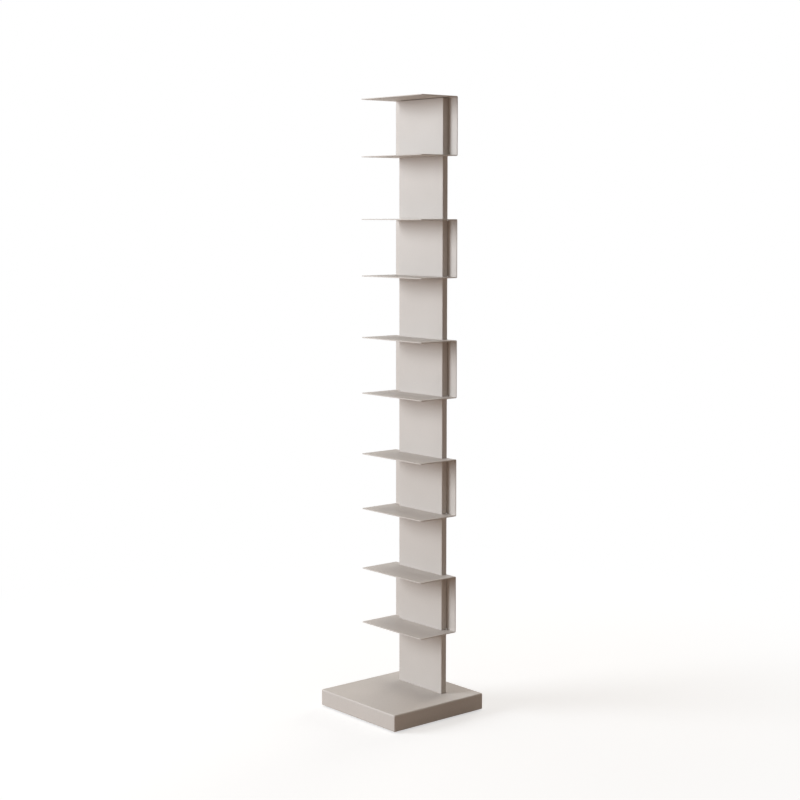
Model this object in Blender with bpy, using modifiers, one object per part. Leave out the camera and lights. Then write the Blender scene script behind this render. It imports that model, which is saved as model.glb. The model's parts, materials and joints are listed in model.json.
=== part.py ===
"""Spine tower bookcase.

A square weighted base carries a flat box-section spine in two lengths. Five shelf modules, each folded
from one sheet into a C (top plate, back panel, bottom plate), are threaded over the spine and screwed to
its back. Ten open bays for stacks lie inside the modules, between them and on the base.

Units are metres, +Z is up, -Y is the open front. The origin is on the floor under the base's centre.
"""

import math

import bmesh
import bpy
from mathutils import Matrix, Vector

# Base: a folded tray, open underneath, with an inward lip that carries the feet
BASE_SIDE = 0.350
BASE_HEIGHT = 0.050
BASE_SHEET = 0.002
BASE_BEND_RADIUS = 0.002
BASE_LIP = 0.032

# Rubber feet pushed into the base's lip, a margin from the lip's inner edge
FOOT_HEIGHT = 0.004
FOOT_DIAMETER = 0.018
FOOT_STEM_DIAMETER = 0.008
FOOT_BEAD = 0.0012
FOOT_BEAD_HEIGHT = 0.004
FOOT_CHAMFER = 0.001
FOOT_LIP_MARGIN = 0.002

# Steel ballast under the top of the base
BALLAST_THICKNESS = 0.012
BALLAST_MARGIN = 0.003
PLATE_CHAMFER = 0.001

# Spine: a flat box section that stands behind the middle of the base
SPINE_WIDTH = 0.200
SPINE_DEPTH = 0.020
SPINE_WALL = 0.0015
SPINE_BEND_RADIUS = 0.0015
SPINE_REAR_MARGIN = 0.0815

# Foot flange of the spine, held up against the ballast by four studs with flange nuts
FLANGE_DEPTH = 0.110
FLANGE_THICKNESS = 0.006
STUD_DIAMETER = 0.008
STUD_EDGE = 0.015
STUD_INSET = 0.020
STUD_END = 0.002
NUT_ACROSS_FLATS = 0.013
NUT_HEIGHT = 0.008
NUT_COLLAR_DIAMETER = 0.018
NUT_COLLAR_HEIGHT = 0.0018

# Shelf modules; a wing is how far a module reaches past each side of the spine
MODULE_COUNT = 5
MODULE_WING = 0.0385
MODULE_DEPTH = 0.139
MODULE_HEIGHT = 0.172
MODULE_SHEET = 0.0025
MODULE_BEND_RADIUS = 0.001
MODULE_CORNER_RADIUS = 0.004
BEND_RELIEF = 0.001
GAP_HEIGHT = 0.1835
LOWEST_GAP = 0.195

# Screws that hold the modules, four to each, and the plates inside the spine that they turn into
SCREW_DIAMETER = 0.006
SCREW_END = 0.0015
SCREW_HEAD_DIAMETER = 0.0105
SCREW_HEAD_HEIGHT = 0.0033
SCREW_HEAD_EDGE = 0.0008
SOCKET_ACROSS_FLATS = 0.004
SOCKET_DEPTH = 0.002
SCREW_SIDE_MARGIN = 0.030
SCREW_SPACING_Z = 0.100
NUT_PLATE_THICKNESS = 0.004
NUT_PLATE_EDGE = 0.012

# Sleeve inside the spine where its two lengths meet
SLEEVE_WALL = 0.003
SPLICE_LAP = 0.080

# Clearances: between faces that touch, round the spine in its slots, and round fasteners in their holes
SEAT = 0.0003
SLOT_CLEARANCE = 0.0005
HOLE_CLEARANCE = 0.0003

# How far a cutter runs past the faces that it cuts, how close points are when a turned shape joins them,
# and how finely round shapes are divided
CUT_OVERRUN = 0.005
MERGE_DISTANCE = 0.00001
ROUND_SIDES = 12
FOOT_SIDES = 18
BEND_SEGMENTS = 3
SHARP_ANGLE = math.radians(35)

# Heights, from the floor up
LIP_TOP = FOOT_HEIGHT + BASE_SHEET
BASE_TOP = FOOT_HEIGHT + BASE_HEIGHT
BALLAST_TOP = BASE_TOP - BASE_SHEET - SEAT
BALLAST_BOTTOM = BALLAST_TOP - BALLAST_THICKNESS
FLANGE_TOP = BALLAST_BOTTOM - SEAT
FLANGE_BOTTOM = FLANGE_TOP - FLANGE_THICKNESS
NUT_TOP = FLANGE_BOTTOM - SEAT
STUD_BOTTOM = NUT_TOP - NUT_HEIGHT - STUD_END
MODULE_BOTTOMS = [BASE_TOP + LOWEST_GAP + i * (MODULE_HEIGHT + GAP_HEIGHT) for i in range(MODULE_COUNT)]
SPINE_BOTTOM = FLANGE_TOP + SEAT
SPINE_TOP = MODULE_BOTTOMS[-1] + MODULE_HEIGHT - MODULE_SHEET - MODULE_BEND_RADIUS - SEAT

# Depths, from the front (-Y) to the back
SPINE_BACK = BASE_SIDE / 2 - SPINE_REAR_MARGIN
SPINE_MIDDLE = SPINE_BACK - SPINE_DEPTH / 2
SPINE_FRONT = SPINE_BACK - SPINE_DEPTH
SPINE_INNER_BACK = SPINE_BACK - SPINE_WALL
MODULE_BACK = SPINE_BACK + SEAT + MODULE_SHEET
MODULE_FRONT = MODULE_BACK - MODULE_DEPTH

# Widths
MODULE_WIDTH = SPINE_WIDTH + 2 * MODULE_WING
SLOT_HALF_WIDTH = SPINE_WIDTH / 2 + SLOT_CLEARANCE
SCREW_REACH = SPINE_WIDTH / 2 - SCREW_SIDE_MARGIN

# The joint between the spine's two lengths is hidden in the slot of the middle module's bottom plate
SPLICE_MODULE = MODULE_COUNT // 2
SPLICE_Z = MODULE_BOTTOMS[SPLICE_MODULE] + MODULE_SHEET / 2
SLEEVE_BOTTOM = SPLICE_Z - SPLICE_LAP
SLEEVE_TOP = MODULE_BOTTOMS[SPLICE_MODULE] + (MODULE_HEIGHT + SCREW_SPACING_Z) / 2 + NUT_PLATE_EDGE
SPLICE_SCREW_Z = SPLICE_Z - SPLICE_LAP / 2

# Fastener lengths follow what they clamp
SCREW_LENGTH = MODULE_SHEET + SPINE_WALL + NUT_PLATE_THICKNESS + 3 * SEAT + SCREW_END
SCREW_HOLE = SCREW_DIAMETER / 2 + HOLE_CLEARANCE
STUD_HOLE = STUD_DIAMETER / 2 + HOLE_CLEARANCE


def clear_scene():
    for obj in list(bpy.data.objects):
        bpy.data.objects.remove(obj, do_unlink=True)


def new_collection(name):
    collection = bpy.data.collections.new(name)
    bpy.context.scene.collection.children.link(collection)
    return collection


def new_material(name, colour, roughness, metallic):
    made = bpy.data.materials.new(name)
    made.use_nodes = True
    shader = made.node_tree.nodes["Principled BSDF"]
    shader.inputs["Base Color"].default_value = (*colour, 1.0)
    shader.inputs["Roughness"].default_value = roughness
    shader.inputs["Metallic"].default_value = metallic
    return made


clear_scene()
PARTS = new_collection("spine_bookcase")
CUTTERS = new_collection("spine_bookcase_cutters")
POWDER_COAT = new_material("powder_coat", colour=(0.60, 0.56, 0.52), roughness=0.55, metallic=0.0)
BARE_STEEL = new_material("bare_steel", colour=(0.22, 0.22, 0.23), roughness=0.50, metallic=0.9)
ZINC_STEEL = new_material("zinc_steel", colour=(0.62, 0.62, 0.60), roughness=0.35, metallic=1.0)
RUBBER = new_material("rubber", colour=(0.03, 0.03, 0.03), roughness=0.85, metallic=0.0)

ROOT = bpy.data.objects.new("bookcase_root", None)
PARTS.objects.link(ROOT)


def add_box(bm, low, high):
    """Add a box between two corners to a mesh being made."""
    low, high = Vector(low), Vector(high)
    place = Matrix.Translation((low + high) / 2) @ Matrix.Diagonal((*(high - low), 1.0))
    bmesh.ops.create_cube(bm, size=1.0, matrix=place)


def add_cylinder(bm, radius, start, end, sides=ROUND_SIDES):
    """Add a capped cylinder, or a prism of few sides, from one point to another."""
    start, end = Vector(start), Vector(end)
    axis = end - start
    turn = axis.to_track_quat("Z", "Y").to_matrix().to_4x4()
    bmesh.ops.create_cone(bm, cap_ends=True, segments=sides, radius1=radius, radius2=radius,
                          depth=axis.length, matrix=Matrix.Translation((start + end) / 2) @ turn)


def hexagon_radius(across_flats):
    return across_flats / math.sqrt(3)


def link_piece(name, mesh, material, location=(0, 0, 0), rotation=(0, 0, 0)):
    """Make a named piece of the bookcase from a mesh."""
    if not mesh.materials:
        mesh.materials.append(material)
    piece = bpy.data.objects.new(name, mesh)
    PARTS.objects.link(piece)
    piece.parent = ROOT
    piece.location = location
    piece.rotation_euler = rotation
    return piece


def mesh_from(bm, name):
    mesh = bpy.data.meshes.new(name)
    bm.to_mesh(mesh)
    bm.free()
    return mesh


def add_boolean(piece, bm, operation):
    """Cut a shape from a piece, or join it on, with the shape placed in the piece's own frame."""
    name = f"{piece.name}_{operation.lower()}"
    cutter = bpy.data.objects.new(name, mesh_from(bm, name))
    CUTTERS.objects.link(cutter)
    cutter.parent = piece
    cutter.hide_render = True
    cutter.display_type = "WIRE"
    step = piece.modifiers.new(operation.lower(), "BOOLEAN")
    step.operation = operation
    step.solver = "EXACT"
    step.object = cutter


def fold_sheet(piece, bend_radius, thickness):
    """Round the folds of an open surface to a bend's outer radius, then thicken it inwards."""
    bend = piece.modifiers.new("bends", "BEVEL")
    bend.width = bend_radius + thickness
    bend.segments = BEND_SEGMENTS
    bend.limit_method = "ANGLE"
    sheet = piece.modifiers.new("sheet", "SOLIDIFY")
    sheet.thickness = thickness
    sheet.offset = -1.0
    sheet.use_even_offset = True


def chamfer_edges(piece, width):
    edges = piece.modifiers.new("edges", "BEVEL")
    edges.width = width
    edges.segments = 1
    edges.limit_method = "ANGLE"


def faces_towards(bm, direction):
    """Faces of a box whose outward normal is within the sharp angle of the direction."""
    direction = Vector(direction)
    bm.normal_update()
    return [face for face in bm.faces if face.normal.dot(direction) > math.cos(SHARP_ANGLE)]


def bake(piece):
    """Take the piece's mesh with its modifiers applied, and remove the piece and its cutters."""
    bpy.context.view_layer.update()
    evaluated = piece.evaluated_get(bpy.context.evaluated_depsgraph_get())
    mesh = bpy.data.meshes.new_from_object(evaluated)
    for child in list(piece.children):
        bpy.data.objects.remove(child)
    bpy.data.objects.remove(piece)
    mesh.shade_smooth()
    mesh.set_sharp_from_angle(angle=SHARP_ANGLE)
    return mesh


def turned_piece(name, profile, material, sides):
    """Turn a profile of (radius, height) points, given from its top down, about Z."""
    bm = bmesh.new()
    points = [bm.verts.new((radius, 0, height)) for radius, height in profile]
    for above, below in zip(points, points[1:]):
        bm.edges.new((above, below))
    piece = link_piece(name, mesh_from(bm, name), material)
    turn = piece.modifiers.new("turn", "SCREW")
    turn.axis = "Z"
    turn.angle = math.tau
    turn.steps = sides
    turn.render_steps = sides
    turn.use_merge_vertices = True
    turn.merge_threshold = MERGE_DISTANCE
    return piece


def make_base_shell():
    """Folded tray with an inward lip, a slot for the spine, foot holes and four welded studs."""
    half = BASE_SIDE / 2
    bm = bmesh.new()
    add_box(bm, (-half, -half, FOOT_HEIGHT), (half, half, BASE_TOP))
    underside = faces_towards(bm, (0, 0, -1))
    bmesh.ops.inset_individual(bm, faces=underside, thickness=BASE_LIP, use_even_offset=True)
    bmesh.ops.delete(bm, geom=underside, context="FACES")
    shell = link_piece("base_shell", mesh_from(bm, "base_shell"), POWDER_COAT)
    fold_sheet(shell, BASE_BEND_RADIUS, BASE_SHEET)

    cuts = bmesh.new()
    add_spine_slot(cuts, BASE_TOP - BASE_SHEET, BASE_TOP)
    for x, y in foot_places():
        hole = FOOT_STEM_DIAMETER / 2 + HOLE_CLEARANCE
        add_cylinder(cuts, hole, (x, y, FOOT_HEIGHT - CUT_OVERRUN), (x, y, LIP_TOP + CUT_OVERRUN))
    add_boolean(shell, cuts, "DIFFERENCE")

    studs = bmesh.new()
    for x, y in stud_places():
        add_cylinder(studs, STUD_DIAMETER / 2, (x, y, STUD_BOTTOM), (x, y, BASE_TOP - BASE_SHEET / 2))
    add_boolean(shell, studs, "UNION")


def add_spine_slot(bm, bottom, top):
    """Add the slot that the spine passes through, from below one level to above another."""
    add_box(bm, (-SLOT_HALF_WIDTH, SPINE_FRONT - SLOT_CLEARANCE, bottom - CUT_OVERRUN),
            (SLOT_HALF_WIDTH, SPINE_BACK + SLOT_CLEARANCE, top + CUT_OVERRUN))


def foot_places():
    reach = BASE_SIDE / 2 - BASE_LIP + FOOT_LIP_MARGIN + FOOT_DIAMETER / 2
    return [(x, y) for x in (-reach, reach) for y in (-reach, reach)]


def stud_places():
    x_reach = SPINE_WIDTH / 2 - STUD_INSET
    y_reach = FLANGE_DEPTH / 2 - STUD_EDGE
    return [(x, SPINE_MIDDLE + y) for x in (-x_reach, x_reach) for y in (-y_reach, y_reach)]


def make_plate(name, low, high, material, cuts):
    """Flat plate with chamfered edges and its cut-outs."""
    bm = bmesh.new()
    add_box(bm, low, high)
    plate = link_piece(name, mesh_from(bm, name), material)
    chamfer_edges(plate, PLATE_CHAMFER)
    add_boolean(plate, cuts, "DIFFERENCE")


def make_ballast_plate():
    """Heavy plate that passes between the base's lips and lies under its top."""
    half = BASE_SIDE / 2 - BASE_LIP - BALLAST_MARGIN
    cuts = bmesh.new()
    add_spine_slot(cuts, BALLAST_BOTTOM, BALLAST_TOP)
    add_stud_holes(cuts, BALLAST_BOTTOM, BALLAST_TOP)
    make_plate("ballast_plate", (-half, -half, BALLAST_BOTTOM), (half, half, BALLAST_TOP), BARE_STEEL, cuts)


def make_foot_flange():
    """Plate welded to the foot of the spine."""
    half = SPINE_WIDTH / 2
    cuts = bmesh.new()
    add_stud_holes(cuts, FLANGE_BOTTOM, FLANGE_TOP)
    make_plate("spine_foot_flange", (-half, SPINE_MIDDLE - FLANGE_DEPTH / 2, FLANGE_BOTTOM),
               (half, SPINE_MIDDLE + FLANGE_DEPTH / 2, FLANGE_TOP), BARE_STEEL, cuts)


def add_stud_holes(bm, bottom, top):
    for x, y in stud_places():
        add_cylinder(bm, STUD_HOLE, (x, y, bottom - CUT_OVERRUN), (x, y, top + CUT_OVERRUN))


def make_flange_nuts():
    """Hexagon nuts with a collar, one below each stud."""
    bm = bmesh.new()
    add_cylinder(bm, hexagon_radius(NUT_ACROSS_FLATS), (0, 0, -NUT_HEIGHT), (0, 0, 0), sides=6)
    nut = link_piece("flange_nut", mesh_from(bm, "flange_nut"), ZINC_STEEL)
    collar = bmesh.new()
    add_cylinder(collar, NUT_COLLAR_DIAMETER / 2, (0, 0, -NUT_COLLAR_HEIGHT), (0, 0, 0))
    add_boolean(nut, collar, "UNION")
    bore = bmesh.new()
    add_cylinder(bore, STUD_HOLE, (0, 0, -NUT_HEIGHT - CUT_OVERRUN), (0, 0, CUT_OVERRUN))
    add_boolean(nut, bore, "DIFFERENCE")
    mesh = bake(nut)
    for number, (x, y) in enumerate(stud_places(), start=1):
        link_piece(f"flange_nut_{number}", mesh, ZINC_STEEL, (x, y, NUT_TOP))


def make_feet():
    """Rubber pads with a beaded stem that snaps through the base's lip."""
    pad, stem = FOOT_DIAMETER / 2, FOOT_STEM_DIAMETER / 2
    pad_top = FOOT_HEIGHT - SEAT
    bead_bottom = LIP_TOP + SEAT
    profile = [
        (0, bead_bottom + FOOT_BEAD_HEIGHT),
        (stem - FOOT_BEAD, bead_bottom + FOOT_BEAD_HEIGHT),
        (stem + FOOT_BEAD, bead_bottom + FOOT_BEAD),
        (stem + FOOT_BEAD, bead_bottom),
        (stem, bead_bottom),
        (stem, pad_top),
        (pad, pad_top),
        (pad, FOOT_CHAMFER),
        (pad - FOOT_CHAMFER, 0),
        (0, 0),
    ]
    mesh = bake(turned_piece("foot", profile, RUBBER, FOOT_SIDES))
    for number, (x, y) in enumerate(foot_places(), start=1):
        link_piece(f"foot_{number}", mesh, RUBBER, (x, y, 0))


def make_box_section(name, low, high, wall, material):
    """Upright box section between two corners, open at both ends, with its screw holes through the back."""
    bm = bmesh.new()
    add_box(bm, low, high)
    ends = faces_towards(bm, (0, 0, 1)) + faces_towards(bm, (0, 0, -1))
    bmesh.ops.delete(bm, geom=ends, context="FACES")
    section = link_piece(name, mesh_from(bm, name), material)
    fold_sheet(section, SPINE_BEND_RADIUS, wall)
    holes = bmesh.new()
    for x, z in all_screw_places():
        if low[2] < z < high[2]:
            add_cylinder(holes, SCREW_HOLE, (x, SPINE_MIDDLE, z), (x, MODULE_BACK, z))
    add_boolean(section, holes, "DIFFERENCE")


def make_spine():
    """Lower and upper lengths of the spine, and the sleeve that joins them."""
    half = SPINE_WIDTH / 2
    lower_top = SPLICE_Z - SEAT / 2
    upper_bottom = SPLICE_Z + SEAT / 2
    make_box_section("spine_lower", (-half, SPINE_FRONT, SPINE_BOTTOM), (half, SPINE_BACK, lower_top),
                     SPINE_WALL, POWDER_COAT)
    make_box_section("spine_upper", (-half, SPINE_FRONT, upper_bottom), (half, SPINE_BACK, SPINE_TOP),
                     SPINE_WALL, POWDER_COAT)
    inset = SPINE_WALL + SEAT
    make_box_section("splice_sleeve", (inset - half, SPINE_FRONT + inset, SLEEVE_BOTTOM),
                     (half - inset, SPINE_BACK - inset, SLEEVE_TOP), SLEEVE_WALL, BARE_STEEL)


def module_screw_places(index):
    """Four screw places (x, z) behind one module."""
    middle = MODULE_BOTTOMS[index] + MODULE_HEIGHT / 2
    rise = SCREW_SPACING_Z / 2
    return [(x, middle + z) for z in (-rise, rise) for x in (-SCREW_REACH, SCREW_REACH)]


def splice_screw_places():
    """Two screw places (x, z) that hold the sleeve to the spine's lower length."""
    return [(x, SPLICE_SCREW_Z) for x in (-SCREW_REACH, SCREW_REACH)]


def all_screw_places():
    places = splice_screw_places()
    for index in range(MODULE_COUNT):
        places += module_screw_places(index)
    return places


def make_nut_plates():
    """Threaded plates inside the spine, behind each module but the one that the sleeve serves."""
    back = SPINE_INNER_BACK - SEAT
    front = back - NUT_PLATE_THICKNESS
    half = SCREW_REACH + NUT_PLATE_EDGE
    for index in range(MODULE_COUNT):
        if index == SPLICE_MODULE:
            continue
        places = module_screw_places(index)
        heights = [z for _, z in places]
        cuts = bmesh.new()
        for x, z in places:
            add_cylinder(cuts, SCREW_HOLE, (x, front - CUT_OVERRUN, z), (x, back + CUT_OVERRUN, z))
        make_plate(f"nut_plate_{index + 1}", (-half, front, min(heights) - NUT_PLATE_EDGE),
                   (half, back, max(heights) + NUT_PLATE_EDGE), BARE_STEEL, cuts)


def make_shelf_module(index):
    """One sheet folded into a C, slotted round the spine; the highest one has a closed top."""
    half = MODULE_WIDTH / 2
    bottom = MODULE_BOTTOMS[index]
    name = f"shelf_module_{index + 1}"
    bm = bmesh.new()
    add_box(bm, (-half, MODULE_FRONT, 0), (half, MODULE_BACK, MODULE_HEIGHT))
    for direction in ((0, -1, 0), (1, 0, 0), (-1, 0, 0)):
        bmesh.ops.delete(bm, geom=faces_towards(bm, direction), context="FACES")
    corners = [vert for vert in bm.verts if vert.co.y < MODULE_BACK - MODULE_DEPTH / 2]
    bmesh.ops.bevel(bm, geom=corners, offset=MODULE_CORNER_RADIUS, segments=BEND_SEGMENTS, profile=0.5,
                    affect="VERTICES")
    module = link_piece(name, mesh_from(bm, name), POWDER_COAT, (0, 0, bottom))
    fold_sheet(module, MODULE_BEND_RADIUS, MODULE_SHEET)

    cuts = bmesh.new()
    slot_depth = MODULE_SHEET + MODULE_BEND_RADIUS + BEND_RELIEF
    add_module_slot(cuts, -CUT_OVERRUN, slot_depth)
    if index < MODULE_COUNT - 1:
        add_module_slot(cuts, MODULE_HEIGHT - slot_depth, MODULE_HEIGHT + CUT_OVERRUN)
    for x, z in module_screw_places(index):
        height = z - bottom
        add_cylinder(cuts, SCREW_HOLE, (x, SPINE_MIDDLE, height), (x, MODULE_BACK + CUT_OVERRUN, height))
    add_boolean(module, cuts, "DIFFERENCE")


def add_module_slot(bm, bottom, top):
    """Add the window for the spine, which runs back through the bend as a relief."""
    add_box(bm, (-SLOT_HALF_WIDTH, SPINE_FRONT - SLOT_CLEARANCE, bottom),
            (SLOT_HALF_WIDTH, MODULE_BACK + CUT_OVERRUN, top))


def make_screws():
    """Button-head socket screws, put in from behind."""
    head, shank = SCREW_HEAD_DIAMETER / 2, SCREW_DIAMETER / 2
    crown = hexagon_radius(SOCKET_ACROSS_FLATS)
    profile = [
        (0, SCREW_HEAD_HEIGHT),
        (crown + SCREW_HEAD_EDGE, SCREW_HEAD_HEIGHT),
        ((crown + head) / 2 + SCREW_HEAD_EDGE, SCREW_HEAD_HEIGHT - SCREW_HEAD_EDGE),
        (head, SCREW_HEAD_EDGE),
        (head, 0),
        (shank, 0),
        (shank, SCREW_END - SCREW_LENGTH),
        (shank - SCREW_END / 2, -SCREW_LENGTH),
        (0, -SCREW_LENGTH),
    ]
    screw = turned_piece("screw", profile, ZINC_STEEL, ROUND_SIDES)
    socket = bmesh.new()
    floor = SCREW_HEAD_HEIGHT - SOCKET_DEPTH
    add_cylinder(socket, crown, (0, 0, floor), (0, 0, SCREW_HEAD_HEIGHT + CUT_OVERRUN), sides=6)
    add_boolean(screw, socket, "DIFFERENCE")
    mesh = bake(screw)

    facing_back = (-math.pi / 2, 0, 0)
    for index in range(MODULE_COUNT):
        for number, (x, z) in enumerate(module_screw_places(index), start=1):
            place = (x, MODULE_BACK + SEAT, z)
            link_piece(f"module_{index + 1}_screw_{number}", mesh, ZINC_STEEL, place, facing_back)
    for number, (x, z) in enumerate(splice_screw_places(), start=1):
        link_piece(f"splice_screw_{number}", mesh, ZINC_STEEL, (x, SPINE_BACK + SEAT, z), facing_back)


make_base_shell()
make_ballast_plate()
make_foot_flange()
make_flange_nuts()
make_feet()
make_spine()
make_nut_plates()
for module_index in range(MODULE_COUNT):
    make_shelf_module(module_index)
make_screws()
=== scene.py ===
"""Looks of the spine tower bookcase: fine surfaces, finishes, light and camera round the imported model.

Units are metres in the model's own frame: +Z is up and -Y is the open front of the bays.
"""

import json
import math

import bmesh
import bpy
from mathutils import Matrix, Vector


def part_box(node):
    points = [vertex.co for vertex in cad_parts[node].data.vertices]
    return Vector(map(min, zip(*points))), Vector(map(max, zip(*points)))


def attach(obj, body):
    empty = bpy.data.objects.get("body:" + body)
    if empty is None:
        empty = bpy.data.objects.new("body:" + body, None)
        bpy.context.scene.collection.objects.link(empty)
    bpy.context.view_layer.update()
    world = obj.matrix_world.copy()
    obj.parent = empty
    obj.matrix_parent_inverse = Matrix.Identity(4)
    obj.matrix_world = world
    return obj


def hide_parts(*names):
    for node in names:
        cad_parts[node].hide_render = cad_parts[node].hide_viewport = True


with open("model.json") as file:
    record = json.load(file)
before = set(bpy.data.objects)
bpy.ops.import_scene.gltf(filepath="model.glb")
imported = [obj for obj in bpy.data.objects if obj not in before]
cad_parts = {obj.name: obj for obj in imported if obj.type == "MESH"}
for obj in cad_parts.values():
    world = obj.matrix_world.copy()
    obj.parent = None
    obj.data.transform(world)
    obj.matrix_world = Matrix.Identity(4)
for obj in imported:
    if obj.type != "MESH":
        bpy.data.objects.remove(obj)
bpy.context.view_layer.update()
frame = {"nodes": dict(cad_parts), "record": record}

BODY = "root"

# Sheet thicknesses and outer bend radii
BASE_SHEET = 0.002
BASE_BEND = 0.004
BASE_LIP = 0.032
SPINE_WALL = 0.0015
SPINE_BEND = 0.003
MODULE_SHEET = 0.0025
MODULE_BEND = 0.0035
MODULE_CORNER = 0.004

# Rounding of cut edges, and the least radius of a corner in plan
SHEET_EDGE = 0.0006
WALL_EDGE = 0.0003
PLATE_EDGE = 0.001
LEAST_CORNER = 0.0008

# Slots that the spine passes through, and the narrower reliefs that carry them through a module's bends
SLOT_CLEARANCE = 0.0005
SLOT_CORNER = SPINE_BEND + SLOT_CLEARANCE
BEND_RELIEF = 0.001
RELIEF_REACH = 0.002
RELIEF_CORNER = 0.0012

# Ground mitre joints in the base's lip
MITRE_WIDTH = 0.0006
MITRE_DEPTH = 0.0004

# Button-head screws, and the hexagon sockets in their heads
SCREW_DIAMETER = 0.006
SCREW_TIP = 0.0015
SCREW_HEAD_DIAMETER = 0.0105
SCREW_HEAD_HEIGHT = 0.0033
SCREW_HEAD_EDGE = 0.0008
SCREW_HEAD_CHAMFER = 0.0003
SOCKET_ACROSS_FLATS = 0.004
SOCKET_DEPTH = 0.002
SOCKET_MOUTH = 0.0003
SOCKET_POINT = 0.0003

# Studs welded to the base, with threaded ends and collared nuts
STUD_DIAMETER = 0.008
STUD_END = 0.002
STUD_ROOT = 0.0003
STUD_THREAD = 0.016
THREAD_PITCH = 0.00125
THREAD_DEPTH = 0.0006
NUT_ACROSS_FLATS = 0.013
NUT_COLLAR_DIAMETER = 0.018
NUT_COLLAR_HEIGHT = 0.0018
NUT_CHAMFER = math.radians(30)
NUT_EDGE = 0.0003

# Rubber feet, whose grooves are rings of these radii
FOOT_HEIGHT = 0.004
FOOT_SEAT = 0.0003
FOOT_EDGE = 0.001
FOOT_TOP_EDGE = 0.0005
FOOT_STEM_DIAMETER = 0.008
FOOT_BEAD = 0.0012
FOOT_BEAD_HEIGHT = 0.004
FOOT_GROOVES = (0.0035, 0.0060)
FOOT_GROOVE_WIDTH = 0.0012
FOOT_GROOVE_DEPTH = 0.0006

# Holes for the fasteners and the feet
HOLE_CLEARANCE = 0.0003
SCREW_HOLE_RADIUS = SCREW_DIAMETER / 2 + HOLE_CLEARANCE
STUD_HOLE_RADIUS = STUD_DIAMETER / 2 + HOLE_CLEARANCE
FOOT_HOLE_RADIUS = FOOT_STEM_DIAMETER / 2 + HOLE_CLEARANCE

# How finely round shapes are divided, and how exactly cuts are made
CORNER_STEPS = 6
BEND_STEPS = 8
EDGE_STEPS = 3
HOLE_SIDES = 24
TURN_SIDES = 48
THREAD_STEPS = 8
SHARP_ANGLE = math.radians(20)
CUT_OVERRUN = 0.002
SCORE_MERGE = 1e-7

# The face layer that tells flats from bends, and the base's finishes: its sheet's, then its studs'
FLAT = "flat"
BASE_SLOTS = ("powder_coat", "zinc_steel")
STUD_FINISH = 1

# Finishes, in linear colour
COAT_PALE = (0.655, 0.606, 0.562)
COAT_DEEP = (0.600, 0.551, 0.508)
# Paler colour of convex edges: partly rubbed wear, partly a painted edge highlight
COAT_EDGE_WEAR_AND_HIGHLIGHT = (0.710, 0.665, 0.620)
STEEL_PALE = (0.30, 0.30, 0.31)
STEEL_DARK = (0.105, 0.105, 0.115)
ZINC_PALE = (0.68, 0.68, 0.67)
ZINC_DULL = (0.47, 0.47, 0.45)
RUBBER_DARK = (0.016, 0.016, 0.017)
RUBBER_BLOOM = (0.055, 0.054, 0.052)
WHITE = (1.0, 1.0, 1.0)

# Sockets of a Mix node that blends colours
MIX_FACTOR = 0
MIX_COLOURS = (6, 7)
MIX_RESULT = 2

# Camera, as the photograph was taken: a level bearing round the tower and a slight look down
CAMERA_BEARING = math.radians(49.787)
CAMERA_PITCH = math.radians(6.626)
CAMERA_DISTANCE = 4.8339
CAMERA_SIDESTEP = -0.0052
CAMERA_HEIGHT = 1.511
CAMERA_LENS = 73.17
CAMERA_SENSOR = 36.0

# Light: a low soft key from the left of the picture, soft lights overhead and behind, a warm surround
LIGHT_TARGET = (0.0, 0.0, 0.85)
KEY_PLACE = (-3.9, -5.9, 2.9)
KEY_SIZE = 4.4
KEY_POWER = 500.0
KEY_COLOUR = (0.88, 0.94, 1.0)
TOP_PLACE = (-0.5, -0.5, 9.0)
TOP_SIZE = 5.0
TOP_POWER = 190.0
TOP_COLOUR = (1.0, 0.93, 0.85)
BACK_PLACE = (-1.8, 4.6, 1.1)
BACK_SIZE = 2.5
BACK_POWER = 115.0
BACK_COLOUR = (1.0, 0.98, 0.95)
SURROUND_COLOUR = (1.0, 0.86, 0.74)
SURROUND_STRENGTH = 0.20

# Floor: pale near the object, white further out
FLOOR_RADIUS = 60.0
FLOOR_COLOUR = (0.52, 0.52, 0.52)
FLOOR_LIFT = 0.60
FLOOR_BOUNCE = (0.42, 0.31, 0.24)
FLOOR_FADE_START = 0.7
FLOOR_FADE_END = 2.2


# Outlines

def quarter(start, steps):
    """Angles, in radians, of a quarter turn from a start in degrees."""
    return [math.radians(start + 90 * step / steps) for step in range(steps + 1)]


def around(centre, radius, angles):
    """Points in a plane at some angles round a centre."""
    return [(centre[0] + radius * math.cos(a), centre[1] + radius * math.sin(a)) for a in angles]


def arc(centre, radius, start, steps=BEND_STEPS, clockwise=False):
    """Points of a quarter arc from a start angle in degrees."""
    angles = quarter(start - 90 if clockwise else start, steps)
    if clockwise:
        angles.reverse()
    return around(centre, radius, angles)


def panel_outline(low, high, radius, is_hole=False):
    """A rounded rectangle whose edge can stand back into the sheet, as a function of that setback."""
    middle = ((low[0] + high[0]) / 2, (low[1] + high[1]) / 2)

    def points(setback):
        inset = -setback if is_hole else setback
        corner = max(radius - inset, LEAST_CORNER)
        reach = [(high[i] - low[i]) / 2 - inset - corner for i in (0, 1)]
        made = []
        for turn, (x, y) in enumerate(((1, -1), (1, 1), (-1, 1), (-1, -1))):
            centre = (middle[0] + x * reach[0], middle[1] + y * reach[1])
            made += arc(centre, corner, 90 * turn - 90, CORNER_STEPS)
        return made

    return points


def round_hole(centre, radius):
    """A round hole whose edge can stand back into the sheet, as a function of that setback."""
    angles = [math.tau * side / HOLE_SIDES for side in range(HOLE_SIDES)]

    def points(setback):
        return around(centre, radius + setback, angles)

    return points


def turned_over(outline, length):
    """The same outline at the other end of a sheet."""
    def points(setback):
        return [(x, length - y) for x, y in outline(setback)]

    return points


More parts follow.
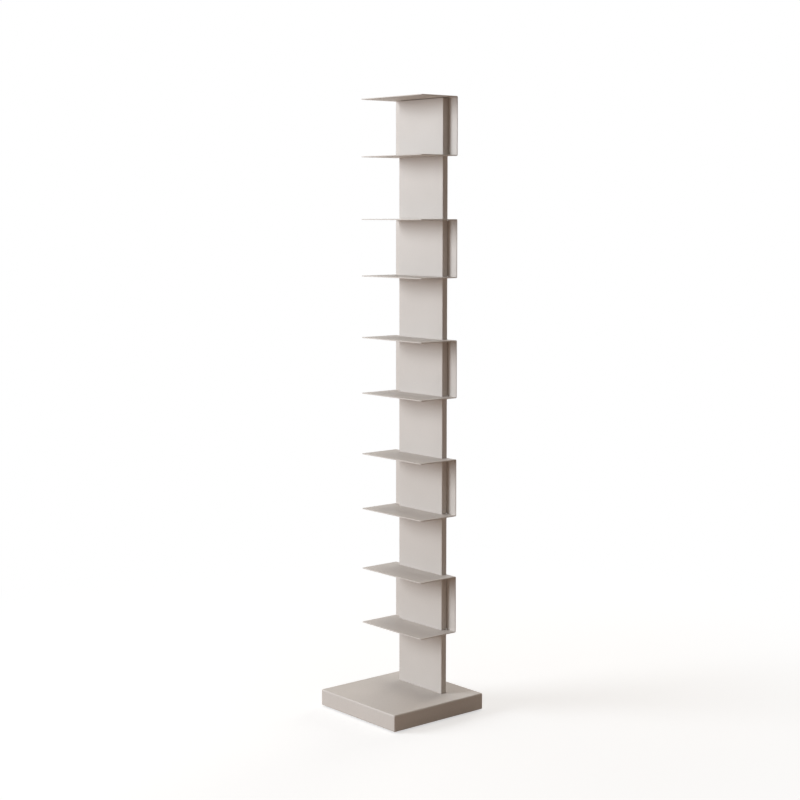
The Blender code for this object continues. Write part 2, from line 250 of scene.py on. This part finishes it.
def rim(thickness, edge):
    """Points (setback, depth) round a sheet's rim, from its outer face to its inner one."""
    outer = arc((edge, edge), edge, 270, EDGE_STEPS, clockwise=True)
    inner = [(setback, thickness - depth) for setback, depth in reversed(outer)]
    return outer + inner


def hexagon(across_flats):
    """Radius of a hexagon, as a function of the angle."""
    def radius(angle):
        return across_flats / 2 / math.cos(angle % (math.pi / 3) - math.pi / 6)

    return radius


def level_at(top):
    """Where the points of a level sheet lie, as a function of their place in plan and depth."""
    def place(x, y, depth):
        return (x, y, top - depth)

    return place


# Meshes

def new_mesh():
    """Empty mesh with the layer that marks its flats."""
    bm = bmesh.new()
    bm.faces.layers.int.new(FLAT)
    return bm


def mesh_from(bm, name):
    """Mesh data of a finished mesh, which is used up."""
    mesh = bpy.data.meshes.new(name)
    bm.to_mesh(mesh)
    bm.free()
    return mesh


def add_object(name, data):
    """Put data into the scene as an object."""
    made = bpy.data.objects.new(name, data)
    bpy.context.scene.collection.objects.link(made)
    return made


def add_strip(bm, first, second):
    """Join two rings of as many points by a strip of faces."""
    count = len(first)
    return [bm.faces.new((first[i], first[(i + 1) % count], second[(i + 1) % count], second[i]))
            for i in range(count)]


def fill_between(bm, rings):
    """Fill the flat face that lies between closed rings of points, and mark it as flat."""
    flat = bm.faces.layers.int[FLAT]
    edges = [bm.edges.get((ring[i - 1], ring[i])) for ring in rings for i in range(len(ring))]
    made = bmesh.ops.triangle_fill(bm, use_beauty=True, use_dissolve=False, edges=edges)
    for item in made["geom"]:
        if isinstance(item, bmesh.types.BMFace):
            item[flat] = 1


def add_rims(bm, outlines, thickness, edge, place):
    """Add the rounded rims of a sheet's outlines; the rings on its outer and inner face come back."""
    faces = ([], [])
    for outline in outlines:
        rings = [[bm.verts.new(place(x, y, depth)) for x, y in outline(setback)]
                 for setback, depth in rim(thickness, edge)]
        for first, second in zip(rings, rings[1:]):
            add_strip(bm, first, second)
        faces[0].append(rings[0])
        faces[1].append(rings[-1])
    return faces


def cut_sheet(outlines, thickness, edge, place):
    """Flat sheet, cut to its outlines with rounded rims; place turns (x, y, depth) into a point."""
    bm = new_mesh()
    for rings in add_rims(bm, outlines, thickness, edge, place):
        fill_between(bm, rings)
    bmesh.ops.recalc_face_normals(bm, faces=bm.faces)
    return bm


def fold_sheet(bm, scores, bends, place):
    """Score a flat sheet in (x, run, depth) across some runs, then put each point where it folds to."""
    flat = bm.faces.layers.int[FLAT]
    for run in scores:
        everything = bm.verts[:] + bm.edges[:] + bm.faces[:]
        bmesh.ops.bisect_plane(bm, geom=everything, dist=SCORE_MERGE, plane_co=(0, run, 0),
                               plane_no=(0, 1, 0))
    for face in bm.faces:
        run = face.calc_center_median().y
        if any(start < run < end for start, end in bends):
            face[flat] = 0
    for vert in bm.verts:
        vert.co = place(*vert.co)


def sweep(bm, outline, profile, closed):
    """Carry a profile, made of arcs of (setback, height), round a panel's outline; mark the flats."""
    flat = bm.faces.layers.int[FLAT]
    rings = []
    for piece in profile:
        for index, (setback, height) in enumerate(piece):
            ring = [bm.verts.new((x, y, height)) for x, y in outline(setback)]
            rings.append((ring, height, index == len(piece) - 1))
    following = rings[1:] + rings[:1] if closed else rings[1:]
    for (ring, height, ends_arc), (next_ring, next_height, _) in zip(rings, following):
        for index, face in enumerate(add_strip(bm, ring, next_ring)):
            # A straight side starts at the last point of each corner
            runs_straight = index % (CORNER_STEPS + 1) == CORNER_STEPS
            if ends_arc and (height == next_height or runs_straight):
                face[flat] = 1
    return rings[0][0], rings[-1][0]


def add_loops(bm, rings, sides, axis=(0, 0)):
    """Add rings (radius, height) about an upright axis, joined by strips; both may vary by angle."""
    def value_at(measure, angle):
        return measure(angle) if callable(measure) else measure

    loops = []
    for radius, height in rings:
        loop = []
        for side in range(sides):
            angle = math.tau * side / sides
            reach = value_at(radius, angle)
            x = axis[0] + reach * math.cos(angle)
            y = axis[1] + reach * math.sin(angle)
            loop.append(bm.verts.new((x, y, value_at(height, angle))))
        loops.append(loop)
    strips = [add_strip(bm, first, second) for first, second in zip(loops, loops[1:])]
    return loops, [face for strip in strips for face in strip]


def turned(rings, has_bore=False):
    """Solid of rings (radius, height) about Z, closed at both ends, or by a bore from last to first."""
    bm = new_mesh()
    loops, _ = add_loops(bm, rings, TURN_SIDES)
    if has_bore:
        add_strip(bm, loops[-1], loops[0])
    else:
        for loop in (loops[0], loops[-1]):
            bm.faces.new(loop)
    bmesh.ops.recalc_face_normals(bm, faces=bm.faces)
    return bm


def add_bar(bm, radius, start, end):
    """Add a round bar between two points."""
    start, end = Vector(start), Vector(end)
    turn = (end - start).to_track_quat("Z", "Y").to_matrix().to_4x4()
    place = Matrix.Translation((start + end) / 2) @ turn
    bmesh.ops.create_cone(bm, cap_ends=True, segments=HOLE_SIDES, radius1=radius, radius2=radius,
                          depth=(end - start).length, matrix=place)


def carve(bm, cutter):
    """Cut one mesh out of another, exactly."""
    body = add_object("carved", mesh_from(bm, "carved"))
    tool = add_object("cutter", mesh_from(cutter, "cutter"))
    step = body.modifiers.new("cut", "BOOLEAN")
    step.operation = "DIFFERENCE"
    step.solver = "EXACT"
    step.object = tool
    bpy.context.view_layer.update()
    evaluated = body.evaluated_get(bpy.context.evaluated_depsgraph_get())
    carved = bmesh.new()
    carved.from_mesh(evaluated.to_mesh())
    for used in (body, tool):
        # A mesh that is removed takes its object with it
        bpy.data.meshes.remove(used.data)
    return carved


def level_normals(bm):
    """Normals of all points: those on a flat stand square to it, and the others follow their faces."""
    flat = bm.faces.layers.int[FLAT]
    bm.normal_update()
    normals = []
    for vert in bm.verts:
        level = [face.normal.copy() for face in vert.link_faces if face[flat]]
        normals.append(level[0] if level else vert.normal.copy())
    return normals


def sheet_mesh(bm, name):
    """Mesh of a sheet whose flats stay flat right up to their rounded edges."""
    normals = level_normals(bm)
    mesh = mesh_from(bm, name)
    mesh.shade_smooth()
    mesh.normals_split_custom_set_from_vertices(normals)
    return mesh


def turned_mesh(bm, name):
    """Mesh of a turned piece, smooth but for its sharp edges."""
    mesh = mesh_from(bm, name)
    mesh.shade_smooth()
    mesh.set_sharp_from_angle(angle=SHARP_ANGLE)
    return mesh


# Shader nodes

def opaque(colour):
    """A colour with its alpha."""
    return (*colour, 1.0)


def set_inputs(tree, node, inputs):
    """Set a node's inputs, each to a number, a colour or another node's output."""
    for key, value in inputs.items():
        if isinstance(value, bpy.types.NodeSocket):
            tree.links.new(value, node.inputs[key])
        else:
            node.inputs[key].default_value = value


def add_node(tree, kind, inputs=None, **properties):
    """Add a shader node with its properties and inputs."""
    made = tree.nodes.new(kind)
    for name, value in properties.items():
        setattr(made, name, value)
    set_inputs(tree, made, inputs or {})
    return made


def noise(tree, place, scale, detail, roughness=0.5):
    """Cloudy values round one half."""
    inputs = {"Vector": place, "Scale": scale, "Detail": detail, "Roughness": roughness}
    return add_node(tree, "ShaderNodeTexNoise", inputs).outputs[0]


def combined(tree, operation, first, second):
    """One value made of two by arithmetic."""
    return add_node(tree, "ShaderNodeMath", {0: first, 1: second}, operation=operation).outputs[0]


def spread(tree, value, across, onto=(0.0, 1.0)):
    """Map a value from one range to another, held at its ends."""
    inputs = {
        "Value": value,
        "From Min": across[0],
        "From Max": across[1],
        "To Min": onto[0],
        "To Max": onto[1],
    }
    return add_node(tree, "ShaderNodeMapRange", inputs, clamp=True).outputs[0]


def mixed(tree, factor, first, second):
    """Blend two colours by a factor."""
    inputs = {MIX_FACTOR: factor}
    for key, colour in zip(MIX_COLOURS, (first, second)):
        inputs[key] = colour if isinstance(colour, bpy.types.NodeSocket) else opaque(colour)
    return add_node(tree, "ShaderNodeMix", inputs, data_type="RGBA").outputs[MIX_RESULT]


def bump(tree, height, strength, distance, below=None):
    """Fine relief, which may lie on other relief."""
    inputs = {"Height": height, "Strength": strength, "Distance": distance}
    if below is not None:
        inputs["Normal"] = below
    return add_node(tree, "ShaderNodeBump", inputs).outputs[0]


def stretched(tree, place, scale):
    """Coordinates drawn out along some axes, for marks that run one way."""
    return add_node(tree, "ShaderNodeMapping", {"Vector": place, "Scale": scale}).outputs[0]


def blended(tree, factor, first, second):
    """Blend two shaders by a factor."""
    return add_node(tree, "ShaderNodeMixShader", {0: factor, 1: first, 2: second}).outputs[0]


def diffuse(tree, colour):
    """Plain matte shader."""
    return add_node(tree, "ShaderNodeBsdfDiffuse", {"Color": opaque(colour)}).outputs[0]


def glow(tree, strength):
    """Shader that gives white light."""
    return add_node(tree, "ShaderNodeEmission", {"Color": opaque(WHITE), "Strength": strength}).outputs[0]


def seen_directly(tree):
    """One for rays from the camera, in a reflection or through glass, and nothing for the rest."""
    path = add_node(tree, "ShaderNodeLightPath").outputs
    either = combined(tree, "MAXIMUM", path["Is Camera Ray"], path["Is Glossy Ray"])
    return combined(tree, "MAXIMUM", either, path["Is Transmission Ray"])


# Finishes

def new_material(name):
    """A material with its Principled shader and the object's own coordinates."""
    made = bpy.data.materials.new(name)
    made.use_nodes = True
    tree = made.node_tree
    place = add_node(tree, "ShaderNodeTexCoord").outputs["Object"]
    return made, tree, tree.nodes["Principled BSDF"], place


def make_powder_coat():
    """Matte warm grey powder coat: a fine orange peel, faint clouding, and paler edges that are partly
    rubbed wear and partly a painted highlight.
    """
    made, tree, shader, place = new_material("powder_coat_finish")
    cloud = noise(tree, place, scale=4.0, detail=3.0)
    fleck = noise(tree, place, scale=420.0, detail=3.0, roughness=0.6)
    peel = noise(tree, place, scale=1100.0, detail=2.0)
    grain = noise(tree, place, scale=3800.0, detail=2.0)
    tone = combined(tree, "ADD", cloud, fleck)
    tones = (0.7, 1.3)
    colour = mixed(tree, spread(tree, tone, across=tones), COAT_DEEP, COAT_PALE)
    # Convex edges are painted paler: partly rubbed wear, partly a painted highlight along the rounded
    # edges
    pointed = add_node(tree, "ShaderNodeNewGeometry").outputs["Pointiness"]
    flat = add_node(tree, "ShaderNodeAttribute", attribute_name=FLAT).outputs["Fac"]
    edge = combined(tree, "SUBTRACT", pointed, flat)
    worn_and_highlit_edge = spread(tree, edge, across=(0.52, 0.60), onto=(0.0, 0.5))
    waves = bump(tree, peel, strength=0.18, distance=0.0004)
    set_inputs(tree, shader, {
        "Base Color": mixed(tree, worn_and_highlit_edge, colour, COAT_EDGE_WEAR_AND_HIGHLIGHT),
        "Roughness": spread(tree, tone, across=tones, onto=(0.58, 0.46)),
        "Normal": bump(tree, grain, strength=0.10, distance=0.0001, below=waves),
    })
    return made


def make_bare_steel():
    """Dark rolled plate: patchy mill scale with fine marks along the rolling direction."""
    made, tree, shader, place = new_material("bare_steel_finish")
    patches = noise(tree, place, scale=28.0, detail=6.0, roughness=0.62)
    lines = noise(tree, stretched(tree, place, (900.0, 14.0, 900.0)), scale=1.0, detail=3.0)
    tone = combined(tree, "ADD", patches, lines)
    set_inputs(tree, shader, {
        "Base Color": mixed(tree, spread(tree, tone, across=(0.75, 1.25)), STEEL_DARK, STEEL_PALE),
        "Metallic": 0.9,
        "Roughness": spread(tree, patches, across=(0.35, 0.65), onto=(0.62, 0.40)),
        "Normal": bump(tree, tone, strength=0.15, distance=0.0003),
    })
    return made


def make_zinc():
    """Zinc plate on turned steel: dull clouding and fine rings round the piece's own axis."""
    made, tree, shader, place = new_material("zinc_finish")
    cloud = noise(tree, place, scale=320.0, detail=4.0)
    clouds = (0.35, 0.65)
    marks = {"Vector": place, "Scale": 700.0, "Distortion": 1.5}
    rings = add_node(tree, "ShaderNodeTexWave", marks, wave_type="RINGS", rings_direction="Z")
    set_inputs(tree, shader, {
        "Base Color": mixed(tree, spread(tree, cloud, across=clouds), ZINC_DULL, ZINC_PALE),
        "Metallic": 1.0,
        "Roughness": spread(tree, cloud, across=clouds, onto=(0.44, 0.28)),
        "Normal": bump(tree, rings.outputs["Fac"], strength=0.08, distance=0.0001),
    })
    return made


def make_rubber():
    """Black moulded rubber with a faint grey bloom."""
    made, tree, shader, place = new_material("rubber_finish")
    bloom = noise(tree, place, scale=160.0, detail=5.0, roughness=0.6)
    pores = noise(tree, place, scale=2400.0, detail=2.0)
    set_inputs(tree, shader, {
        "Base Color": mixed(tree, spread(tree, bloom, across=(0.45, 0.75)), RUBBER_DARK, RUBBER_BLOOM),
        "Roughness": spread(tree, bloom, across=(0.35, 0.7), onto=(0.72, 0.9)),
        "Normal": bump(tree, pores, strength=0.2, distance=0.0002),
    })
    return made


FINISHES = {
    "powder_coat": make_powder_coat(),
    "bare_steel": make_bare_steel(),
    "zinc_steel": make_zinc(),
    "rubber": make_rubber(),
}
SLOTS = {row["node"]: row["material_slot"] for row in frame["record"]["subparts"]}


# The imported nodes

def middle_of(node):
    """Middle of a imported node."""
    low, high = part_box(node)
    return (low + high) / 2


def nodes_named(start):
    """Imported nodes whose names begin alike, in order."""
    return sorted(name for name in frame["nodes"] if name.startswith(start))


def screw_nodes():
    """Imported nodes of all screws, in order."""
    return sorted(name for name in frame["nodes"] if "_screw_" in name)


def screws_between(low, high):
    """Places (x, z) of the screws whose heights lie between two corners."""
    middles = [middle_of(node) for node in screw_nodes()]
    return [(middle.x, middle.z) for middle in middles if low.z < middle.z < high.z]


def stand_for(node, mesh, location=(0, 0, 0), rotation=(0, 0, 0)):
    """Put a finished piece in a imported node's place, with its slot's finish if it has none yet."""
    if not mesh.materials:
        mesh.materials.append(FINISHES[SLOTS[node]])
    piece = add_object(f"{node}_finished", mesh)
    piece.location = location
    piece.rotation_euler = rotation
    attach(piece, BODY)
    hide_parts(node)


def finish_hidden_nodes():
    """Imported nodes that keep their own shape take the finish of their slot."""
    for node, piece in frame["nodes"].items():
        if not piece.hide_render:
            piece.data.materials.clear()
            piece.data.materials.append(FINISHES[SLOTS[node]])


# Base

def spine_slot():
    """Outline, in plan, of the slot round the spine."""
    low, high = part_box("spine_lower")
    gap = SLOT_CLEARANCE
    near, far = (low.x - gap, low.y - gap), (high.x + gap, high.y + gap)
    return panel_outline(near, far, SLOT_CORNER, is_hole=True)


def base_profile(low, high):
    """Section of the base's wall, from its top down the outside, round the lip and up the inside."""
    bend, inner, edge = BASE_BEND, BASE_BEND - BASE_SHEET, SHEET_EDGE
    wall, lip = BASE_BEND, BASE_LIP - SHEET_EDGE
    floor = low.z + BASE_SHEET
    return [
        arc((wall, high.z - bend), bend, 90),
        arc((wall, low.z + bend), bend, 180),
        arc((lip, low.z + edge), edge, 270),
        arc((lip, floor - edge), edge, 0),
        arc((wall, floor + inner), inner, 270, clockwise=True),
        arc((wall, high.z - BASE_SHEET - inner), inner, 180, clockwise=True),
    ]


def foot_holes(low):
    """Cutters for the holes in the base's lip that take the feet."""
    bm = bmesh.new()
    under, over = low.z - CUT_OVERRUN, low.z + BASE_SHEET + CUT_OVERRUN
    for node in nodes_named("foot_"):
        x, y, _ = middle_of(node)
        add_bar(bm, FOOT_HOLE_RADIUS, (x, y, under), (x, y, over))
    return bm


def mitre_grooves(low):
    """Cutters for the fine grooves that ground welds leave across the lip's corners."""
    bm = bmesh.new()
    middle = low.x + BASE_LIP / 2
    length = (BASE_LIP + 2 * CUT_OVERRUN) * math.sqrt(2)
    slant = Matrix.Rotation(math.radians(45), 4, "Z")
    size = Matrix.Diagonal((length, MITRE_WIDTH, 2 * MITRE_DEPTH, 1.0))
    for corner in range(4):
        turn = Matrix.Rotation(math.radians(90 * corner), 4, "Z")
        place = turn @ Matrix.Translation((middle, middle, low.z)) @ slant @ size
        bmesh.ops.create_cube(bm, size=1.0, matrix=place)
    return bm


def thread_reach(radius, rise):
    """Radius of a thread at a rise above its chamfered tip, as a function of the angle."""
    chamfer = radius - THREAD_DEPTH + rise

    def reach(angle):
        phase = (rise / THREAD_PITCH - angle / math.tau) % 1.0
        return min(chamfer, radius - THREAD_DEPTH * abs(2 * phase - 1))

    return reach


def thread(radius, bottom):
    """Rings of a threaded stud end, from its tip up."""
    count = int(STUD_THREAD / THREAD_PITCH) * THREAD_STEPS
    rises = [THREAD_PITCH * step / THREAD_STEPS for step in range(count + 1)]
    return [(thread_reach(radius, rise), bottom + rise) for rise in rises]


def add_stud(bm, axis, bottom, ceiling):
    """Add a welded stud, threaded on its lower part; the ring where it leaves the ceiling comes back."""
    radius = STUD_DIAMETER / 2
    shoulder = bottom + STUD_THREAD + THREAD_DEPTH
    shank = [(radius, shoulder), (radius, ceiling - STUD_ROOT), (radius, ceiling)]
    loops, faces = add_loops(bm, thread(radius, bottom) + shank, HOLE_SIDES, axis)
    end = bm.faces.new(loops[0])
    end[bm.faces.layers.int[FLAT]] = 1
    for face in [*faces, end]:
        face.material_index = STUD_FINISH
    return loops[-1]


def make_base():
    """Folded tray with rounded bends, an inward lip, the spine's slot, and four welded studs."""
    low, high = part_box("base_shell")
    bm = new_mesh()
    outline = panel_outline(low.xy, high.xy, BASE_BEND)
    top_ring, ceiling_ring = sweep(bm, outline, base_profile(low, high), closed=False)
    top_slot, ceiling_slot = add_rims(bm, [spine_slot()], BASE_SHEET, SHEET_EDGE, level_at(high.z))
    ceiling = high.z - BASE_SHEET
    studs = [add_stud(bm, middle_of(node).xy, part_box(node)[0].z - STUD_END, ceiling)
             for node in nodes_named("flange_nut_")]
    fill_between(bm, [top_ring, *top_slot])
    fill_between(bm, [ceiling_ring, *ceiling_slot, *studs])
    bmesh.ops.recalc_face_normals(bm, faces=bm.faces)

    bm = carve(bm, foot_holes(low))
    bm = carve(bm, mitre_grooves(low))
    mesh = sheet_mesh(bm, "base_shell_finished")
    for slot in BASE_SLOTS:
        mesh.materials.append(FINISHES[slot])
    stand_for("base_shell", mesh)


def stud_holes():
    """Outlines of the holes that the studs pass through."""
    return [round_hole(middle_of(node).xy, STUD_HOLE_RADIUS) for node in nodes_named("flange_nut_")]


def make_plate(node, holes):
    """Thick steel plate with eased edges and its cut-outs."""
    low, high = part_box(node)
    outline = panel_outline(low.xy, high.xy, PLATE_EDGE)
    bm = cut_sheet([outline, *holes], high.z - low.z, PLATE_EDGE, level_at(high.z))
    stand_for(node, sheet_mesh(bm, f"{node}_finished"))


def make_nuts():
    """Hexagon nuts with a sloped collar and a chamfered end, seated upwards."""
    nodes = nodes_named("flange_nut_")
    low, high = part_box(nodes[0])
    end = low.z - high.z
    bore, collar, body = STUD_HOLE_RADIUS, NUT_COLLAR_DIAMETER / 2, hexagon(NUT_ACROSS_FLATS)
    end_face = NUT_ACROSS_FLATS / 2 - NUT_EDGE

    def chamfer(angle):
        return end + (body(angle) - end_face) * math.tan(NUT_CHAMFER)

    rings = [
        (bore, 0),
        (collar - NUT_EDGE, 0),
        (collar, -NUT_EDGE),
        (collar, -NUT_COLLAR_HEIGHT / 2),
        (collar - NUT_EDGE, -NUT_COLLAR_HEIGHT),
        (body, -NUT_COLLAR_HEIGHT - NUT_EDGE),
        (body, chamfer),
        (end_face, end),
        (bore + NUT_EDGE, end),
        (bore, end + NUT_EDGE),
    ]
    mesh = turned_mesh(turned(rings, has_bore=True), "flange_nut_finished")
    for node in nodes:
        x, y, _ = middle_of(node)
        stand_for(node, mesh, (x, y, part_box(node)[1].z))


def make_feet():
    """Rubber feet with a rounded pad, ringed underneath, and a beaded stem through the lip."""
    nodes = nodes_named("foot_")
    low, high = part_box(nodes[0])
    pad, stem = (high.x - low.x) / 2, FOOT_STEM_DIAMETER / 2
    pad_top = FOOT_HEIGHT - FOOT_SEAT
    bead = FOOT_HEIGHT + BASE_SHEET + FOOT_SEAT
    half = FOOT_GROOVE_WIDTH / 2
    rings = [(FOOT_GROOVE_WIDTH, 0)]
    for groove in FOOT_GROOVES:
        rings += [
            (groove - half, 0),
            (groove - half / 2, FOOT_GROOVE_DEPTH),
            (groove + half / 2, FOOT_GROOVE_DEPTH),
            (groove + half, 0),
        ]
    rings += arc((pad - FOOT_EDGE, FOOT_EDGE), FOOT_EDGE, 270)
    rings += arc((pad - FOOT_TOP_EDGE, pad_top - FOOT_TOP_EDGE), FOOT_TOP_EDGE, 0)
    rings += [
        (stem, pad_top),
        (stem, bead),
        (stem + FOOT_BEAD, bead),
        (stem + FOOT_BEAD, bead + FOOT_BEAD),
        (stem - FOOT_BEAD, bead + FOOT_BEAD_HEIGHT),
    ]
    mesh = turned_mesh(turned(rings), "foot_finished")
    for node in nodes:
        x, y, _ = middle_of(node)
        stand_for(node, mesh, (x, y, 0))


# Spine and shelf modules

def make_spine_length(node):
    """One length of the spine: a box section with rounded edges and its screw holes through the back."""
    low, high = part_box(node)
    wall, edge = SPINE_WALL, WALL_EDGE
    profile = [
        arc((edge, low.z + edge), edge, 270, clockwise=True),
        arc((edge, high.z - edge), edge, 180, clockwise=True),
        arc((wall - edge, high.z - edge), edge, 90, clockwise=True),
        arc((wall - edge, low.z + edge), edge, 0, clockwise=True),
    ]
    bm = new_mesh()
    sweep(bm, panel_outline(low.xy, high.xy, SPINE_BEND), profile, closed=True)
    bmesh.ops.recalc_face_normals(bm, faces=bm.faces)
    cuts = bmesh.new()
    inside, outside = high.y - wall - CUT_OVERRUN, high.y + CUT_OVERRUN
    for x, z in screws_between(low, high):
        add_bar(cuts, SCREW_HOLE_RADIUS, (x, inside, z), (x, outside, z))
    stand_for(node, sheet_mesh(carve(bm, cuts), f"{node}_finished"))


def c_fold(low, high):
    """Fold of a sheet to a C: the runs to score, the bends, and where a point of the sheet goes."""
    radius = MODULE_BEND
    bend = radius * math.pi / 2
    first = high.y - low.y - radius
    second = first + bend + high.z - low.z - 2 * radius
    bends = [(first, first + bend), (second, second + bend)]
    scores = [start + bend * step / BEND_STEPS for start, _ in bends for step in range(BEND_STEPS + 1)]

    def place(x, run, depth):
        reach = radius - depth
        if run <= first:
            y, z = low.y + run, low.z + depth
        elif run <= first + bend:
            turn = (run - first) / radius
            y = high.y - radius + reach * math.sin(turn)
            z = low.z + radius - reach * math.cos(turn)
        elif run <= second:
            y, z = high.y - depth, low.z + radius + run - first - bend
        elif run <= second + bend:
            turn = (run - second) / radius
            y = high.y - radius + reach * math.cos(turn)
            z = high.z - radius + reach * math.sin(turn)
        else:
            y, z = high.y - radius - (run - second - bend), high.z - depth
        return Vector((x, y, z))

    return scores, bends, place


def spine_window(sheet_front, end):
    """A window that follows the spine's rounded section, then narrows to a relief, by its setback."""
    low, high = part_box("spine_lower")
    middle = (low.x + high.x) / 2
    half = (high.x - low.x) / 2 - SPINE_BEND
    front = low.y + SPINE_BEND - sheet_front
    back = high.y - SPINE_BEND - sheet_front

    def points(setback):
        corner = SLOT_CORNER + setback
        neck = RELIEF_REACH + setback
        end_corner = RELIEF_CORNER + setback
        shoulder = math.acos(neck / corner)
        turns = [shoulder * step / CORNER_STEPS for step in range(CORNER_STEPS + 1)]
        right = arc((0, front), corner, -90, CORNER_STEPS)
        right += around((0, back), corner, turns)
        right += arc((neck - end_corner, end + setback - end_corner), end_corner, 0, CORNER_STEPS)
        left = [(-x, y) for x, y in reversed(right)]
        return [(middle + half + x, y) for x, y in right] + [(middle - half + x, y) for x, y in left]

    return points


def make_module(node, has_open_top):
    """A sheet cut flat with its windows and screw holes, then folded to a C round the spine."""
    low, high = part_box(node)
    scores, bends, place = c_fold(low, high)
    (lower_start, lower_end), (_, upper_end) = bends
    length = upper_end + lower_start
    window = spine_window(low.y, lower_end + BEND_RELIEF)
    outlines = [panel_outline((low.x, 0), (high.x, length), MODULE_CORNER), window]
    if has_open_top:
        outlines.append(turned_over(window, length))
    for x, z in screws_between(low, high):
        outlines.append(round_hole((x, lower_end + z - low.z - MODULE_BEND), SCREW_HOLE_RADIUS))
    bm = cut_sheet(outlines, MODULE_SHEET, SHEET_EDGE, lambda x, run, depth: (x, run, depth))
    fold_sheet(bm, scores, bends, place)
    stand_for(node, sheet_mesh(bm, f"{node}_finished"))


def screw_rings(length):
    """Rings of a button-head socket screw, from its tip up to the head and down into the socket."""
    head, shank = SCREW_HEAD_DIAMETER / 2, SCREW_DIAMETER / 2
    socket = hexagon(SOCKET_ACROSS_FLATS)
    mouth = SOCKET_ACROSS_FLATS / math.sqrt(3) + SOCKET_MOUTH
    crown = mouth + SCREW_HEAD_EDGE / 2
    crown_height = SCREW_HEAD_HEIGHT - SCREW_HEAD_EDGE
    floor = SCREW_HEAD_HEIGHT - SOCKET_DEPTH
    rings = [
        (shank - SCREW_TIP / 2, -length),
        (shank, SCREW_TIP - length),
        (shank, 0),
        (head - SCREW_HEAD_CHAMFER, 0),
        (head, SCREW_HEAD_CHAMFER),
    ]
    for a in quarter(0, BEND_STEPS):
        rings.append((crown + (head - crown) * math.cos(a), SCREW_HEAD_EDGE + crown_height * math.sin(a)))
    rings += [
        (mouth, SCREW_HEAD_HEIGHT),
        (socket, SCREW_HEAD_HEIGHT - SOCKET_MOUTH),
        (socket, floor),
        (SOCKET_POINT, floor - SOCKET_POINT),
    ]
    return rings


def make_screws():
    """All screws share one mesh, turned about Z and laid over to face the back."""
    nodes = screw_nodes()
    low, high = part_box(nodes[0])
    length = high.y - low.y - SCREW_HEAD_HEIGHT
    mesh = turned_mesh(turned(screw_rings(length)), "screw_finished")
    facing_back = (-math.pi / 2, 0, 0)
    for node in nodes:
        x, _, z = middle_of(node)
        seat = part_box(node)[1].y - SCREW_HEAD_HEIGHT
        stand_for(node, mesh, (x, seat, z), facing_back)


# Stage

def add_light(name, place, size, power, colour):
    """Round soft light, turned to the target that all lights share."""
    data = bpy.data.lights.new(name, "AREA")
    data.shape = "DISK"
    data.size = size
    data.energy = power
    data.color = colour
    light = add_object(name, data)
    light.location = place
    light.rotation_euler = (Vector(LIGHT_TARGET) - Vector(place)).to_track_quat("-Z", "Y").to_euler()


def make_world():
    """White where it is seen, and a dim warm surround where it lights."""
    world = bpy.data.worlds.new("studio")
    bpy.context.scene.world = world
    world.use_nodes = True
    tree = world.node_tree
    tree.nodes.clear()
    surround = {"Color": opaque(SURROUND_COLOUR), "Strength": SURROUND_STRENGTH}
    lit = add_node(tree, "ShaderNodeBackground", surround).outputs[0]
    white = add_node(tree, "ShaderNodeBackground", {"Color": opaque(WHITE), "Strength": 1.0}).outputs[0]
    add_node(tree, "ShaderNodeOutputWorld", {"Surface": blended(tree, seen_directly(tree), lit, white)})


def make_floor_finish():
    """Pale near the object and white further out where seen, and a dim warm bounce where it lights."""
    made = bpy.data.materials.new("floor")
    made.use_nodes = True
    tree = made.node_tree
    tree.nodes.clear()
    place = add_node(tree, "ShaderNodeTexCoord").outputs["Object"]
    distance = add_node(tree, "ShaderNodeVectorMath", {0: place}, operation="LENGTH").outputs["Value"]
    reach = {"Value": distance, "From Min": FLOOR_FADE_START, "From Max": FLOOR_FADE_END}
    fade = add_node(tree, "ShaderNodeMapRange", reach, interpolation_type="SMOOTHSTEP").outputs[0]
    lifted = {0: diffuse(tree, FLOOR_COLOUR), 1: glow(tree, FLOOR_LIFT)}
    near = add_node(tree, "ShaderNodeAddShader", lifted).outputs[0]
    shown = blended(tree, fade, near, glow(tree, 1.0))
    surface = blended(tree, seen_directly(tree), diffuse(tree, FLOOR_BOUNCE), shown)
    add_node(tree, "ShaderNodeOutputMaterial", {"Surface": surface})
    return made


def make_floor():
    """Floor that takes the object's shadow and runs out into white."""
    bm = bmesh.new()
    bmesh.ops.create_circle(bm, cap_ends=True, segments=TURN_SIDES, radius=FLOOR_RADIUS)
    mesh = mesh_from(bm, "floor")
    mesh.materials.append(make_floor_finish())
    add_object("floor", mesh)


def make_camera():
    """Camera that stands and looks as the photograph's did."""
    data = bpy.data.cameras.new("camera")
    data.lens = CAMERA_LENS
    data.sensor_width = CAMERA_SENSOR
    camera = add_object("camera", data)
    right = Vector((math.cos(CAMERA_BEARING), math.sin(CAMERA_BEARING), 0))
    away = Vector((math.sin(CAMERA_BEARING), -math.cos(CAMERA_BEARING), 0))
    camera.location = away * CAMERA_DISTANCE + right * CAMERA_SIDESTEP + Vector((0, 0, CAMERA_HEIGHT))
    camera.rotation_euler = (math.pi / 2 - CAMERA_PITCH, 0, CAMERA_BEARING)
    bpy.context.scene.camera = camera


make_camera()
make_base()
make_plate("ballast_plate", [spine_slot(), *stud_holes()])
make_plate("spine_foot_flange", stud_holes())
make_nuts()
make_feet()
for spine_node in ("spine_lower", "spine_upper"):
    make_spine_length(spine_node)
module_nodes = nodes_named("shelf_module_")
for module_node in module_nodes:
    make_module(module_node, has_open_top=module_node != module_nodes[-1])
make_screws()
finish_hidden_nodes()

add_light("key", KEY_PLACE, KEY_SIZE, KEY_POWER, KEY_COLOUR)
add_light("top", TOP_PLACE, TOP_SIZE, TOP_POWER, TOP_COLOUR)
add_light("back", BACK_PLACE, BACK_SIZE, BACK_POWER, BACK_COLOUR)
make_world()
make_floor()
bpy.context.scene.view_settings.view_transform = "Standard"
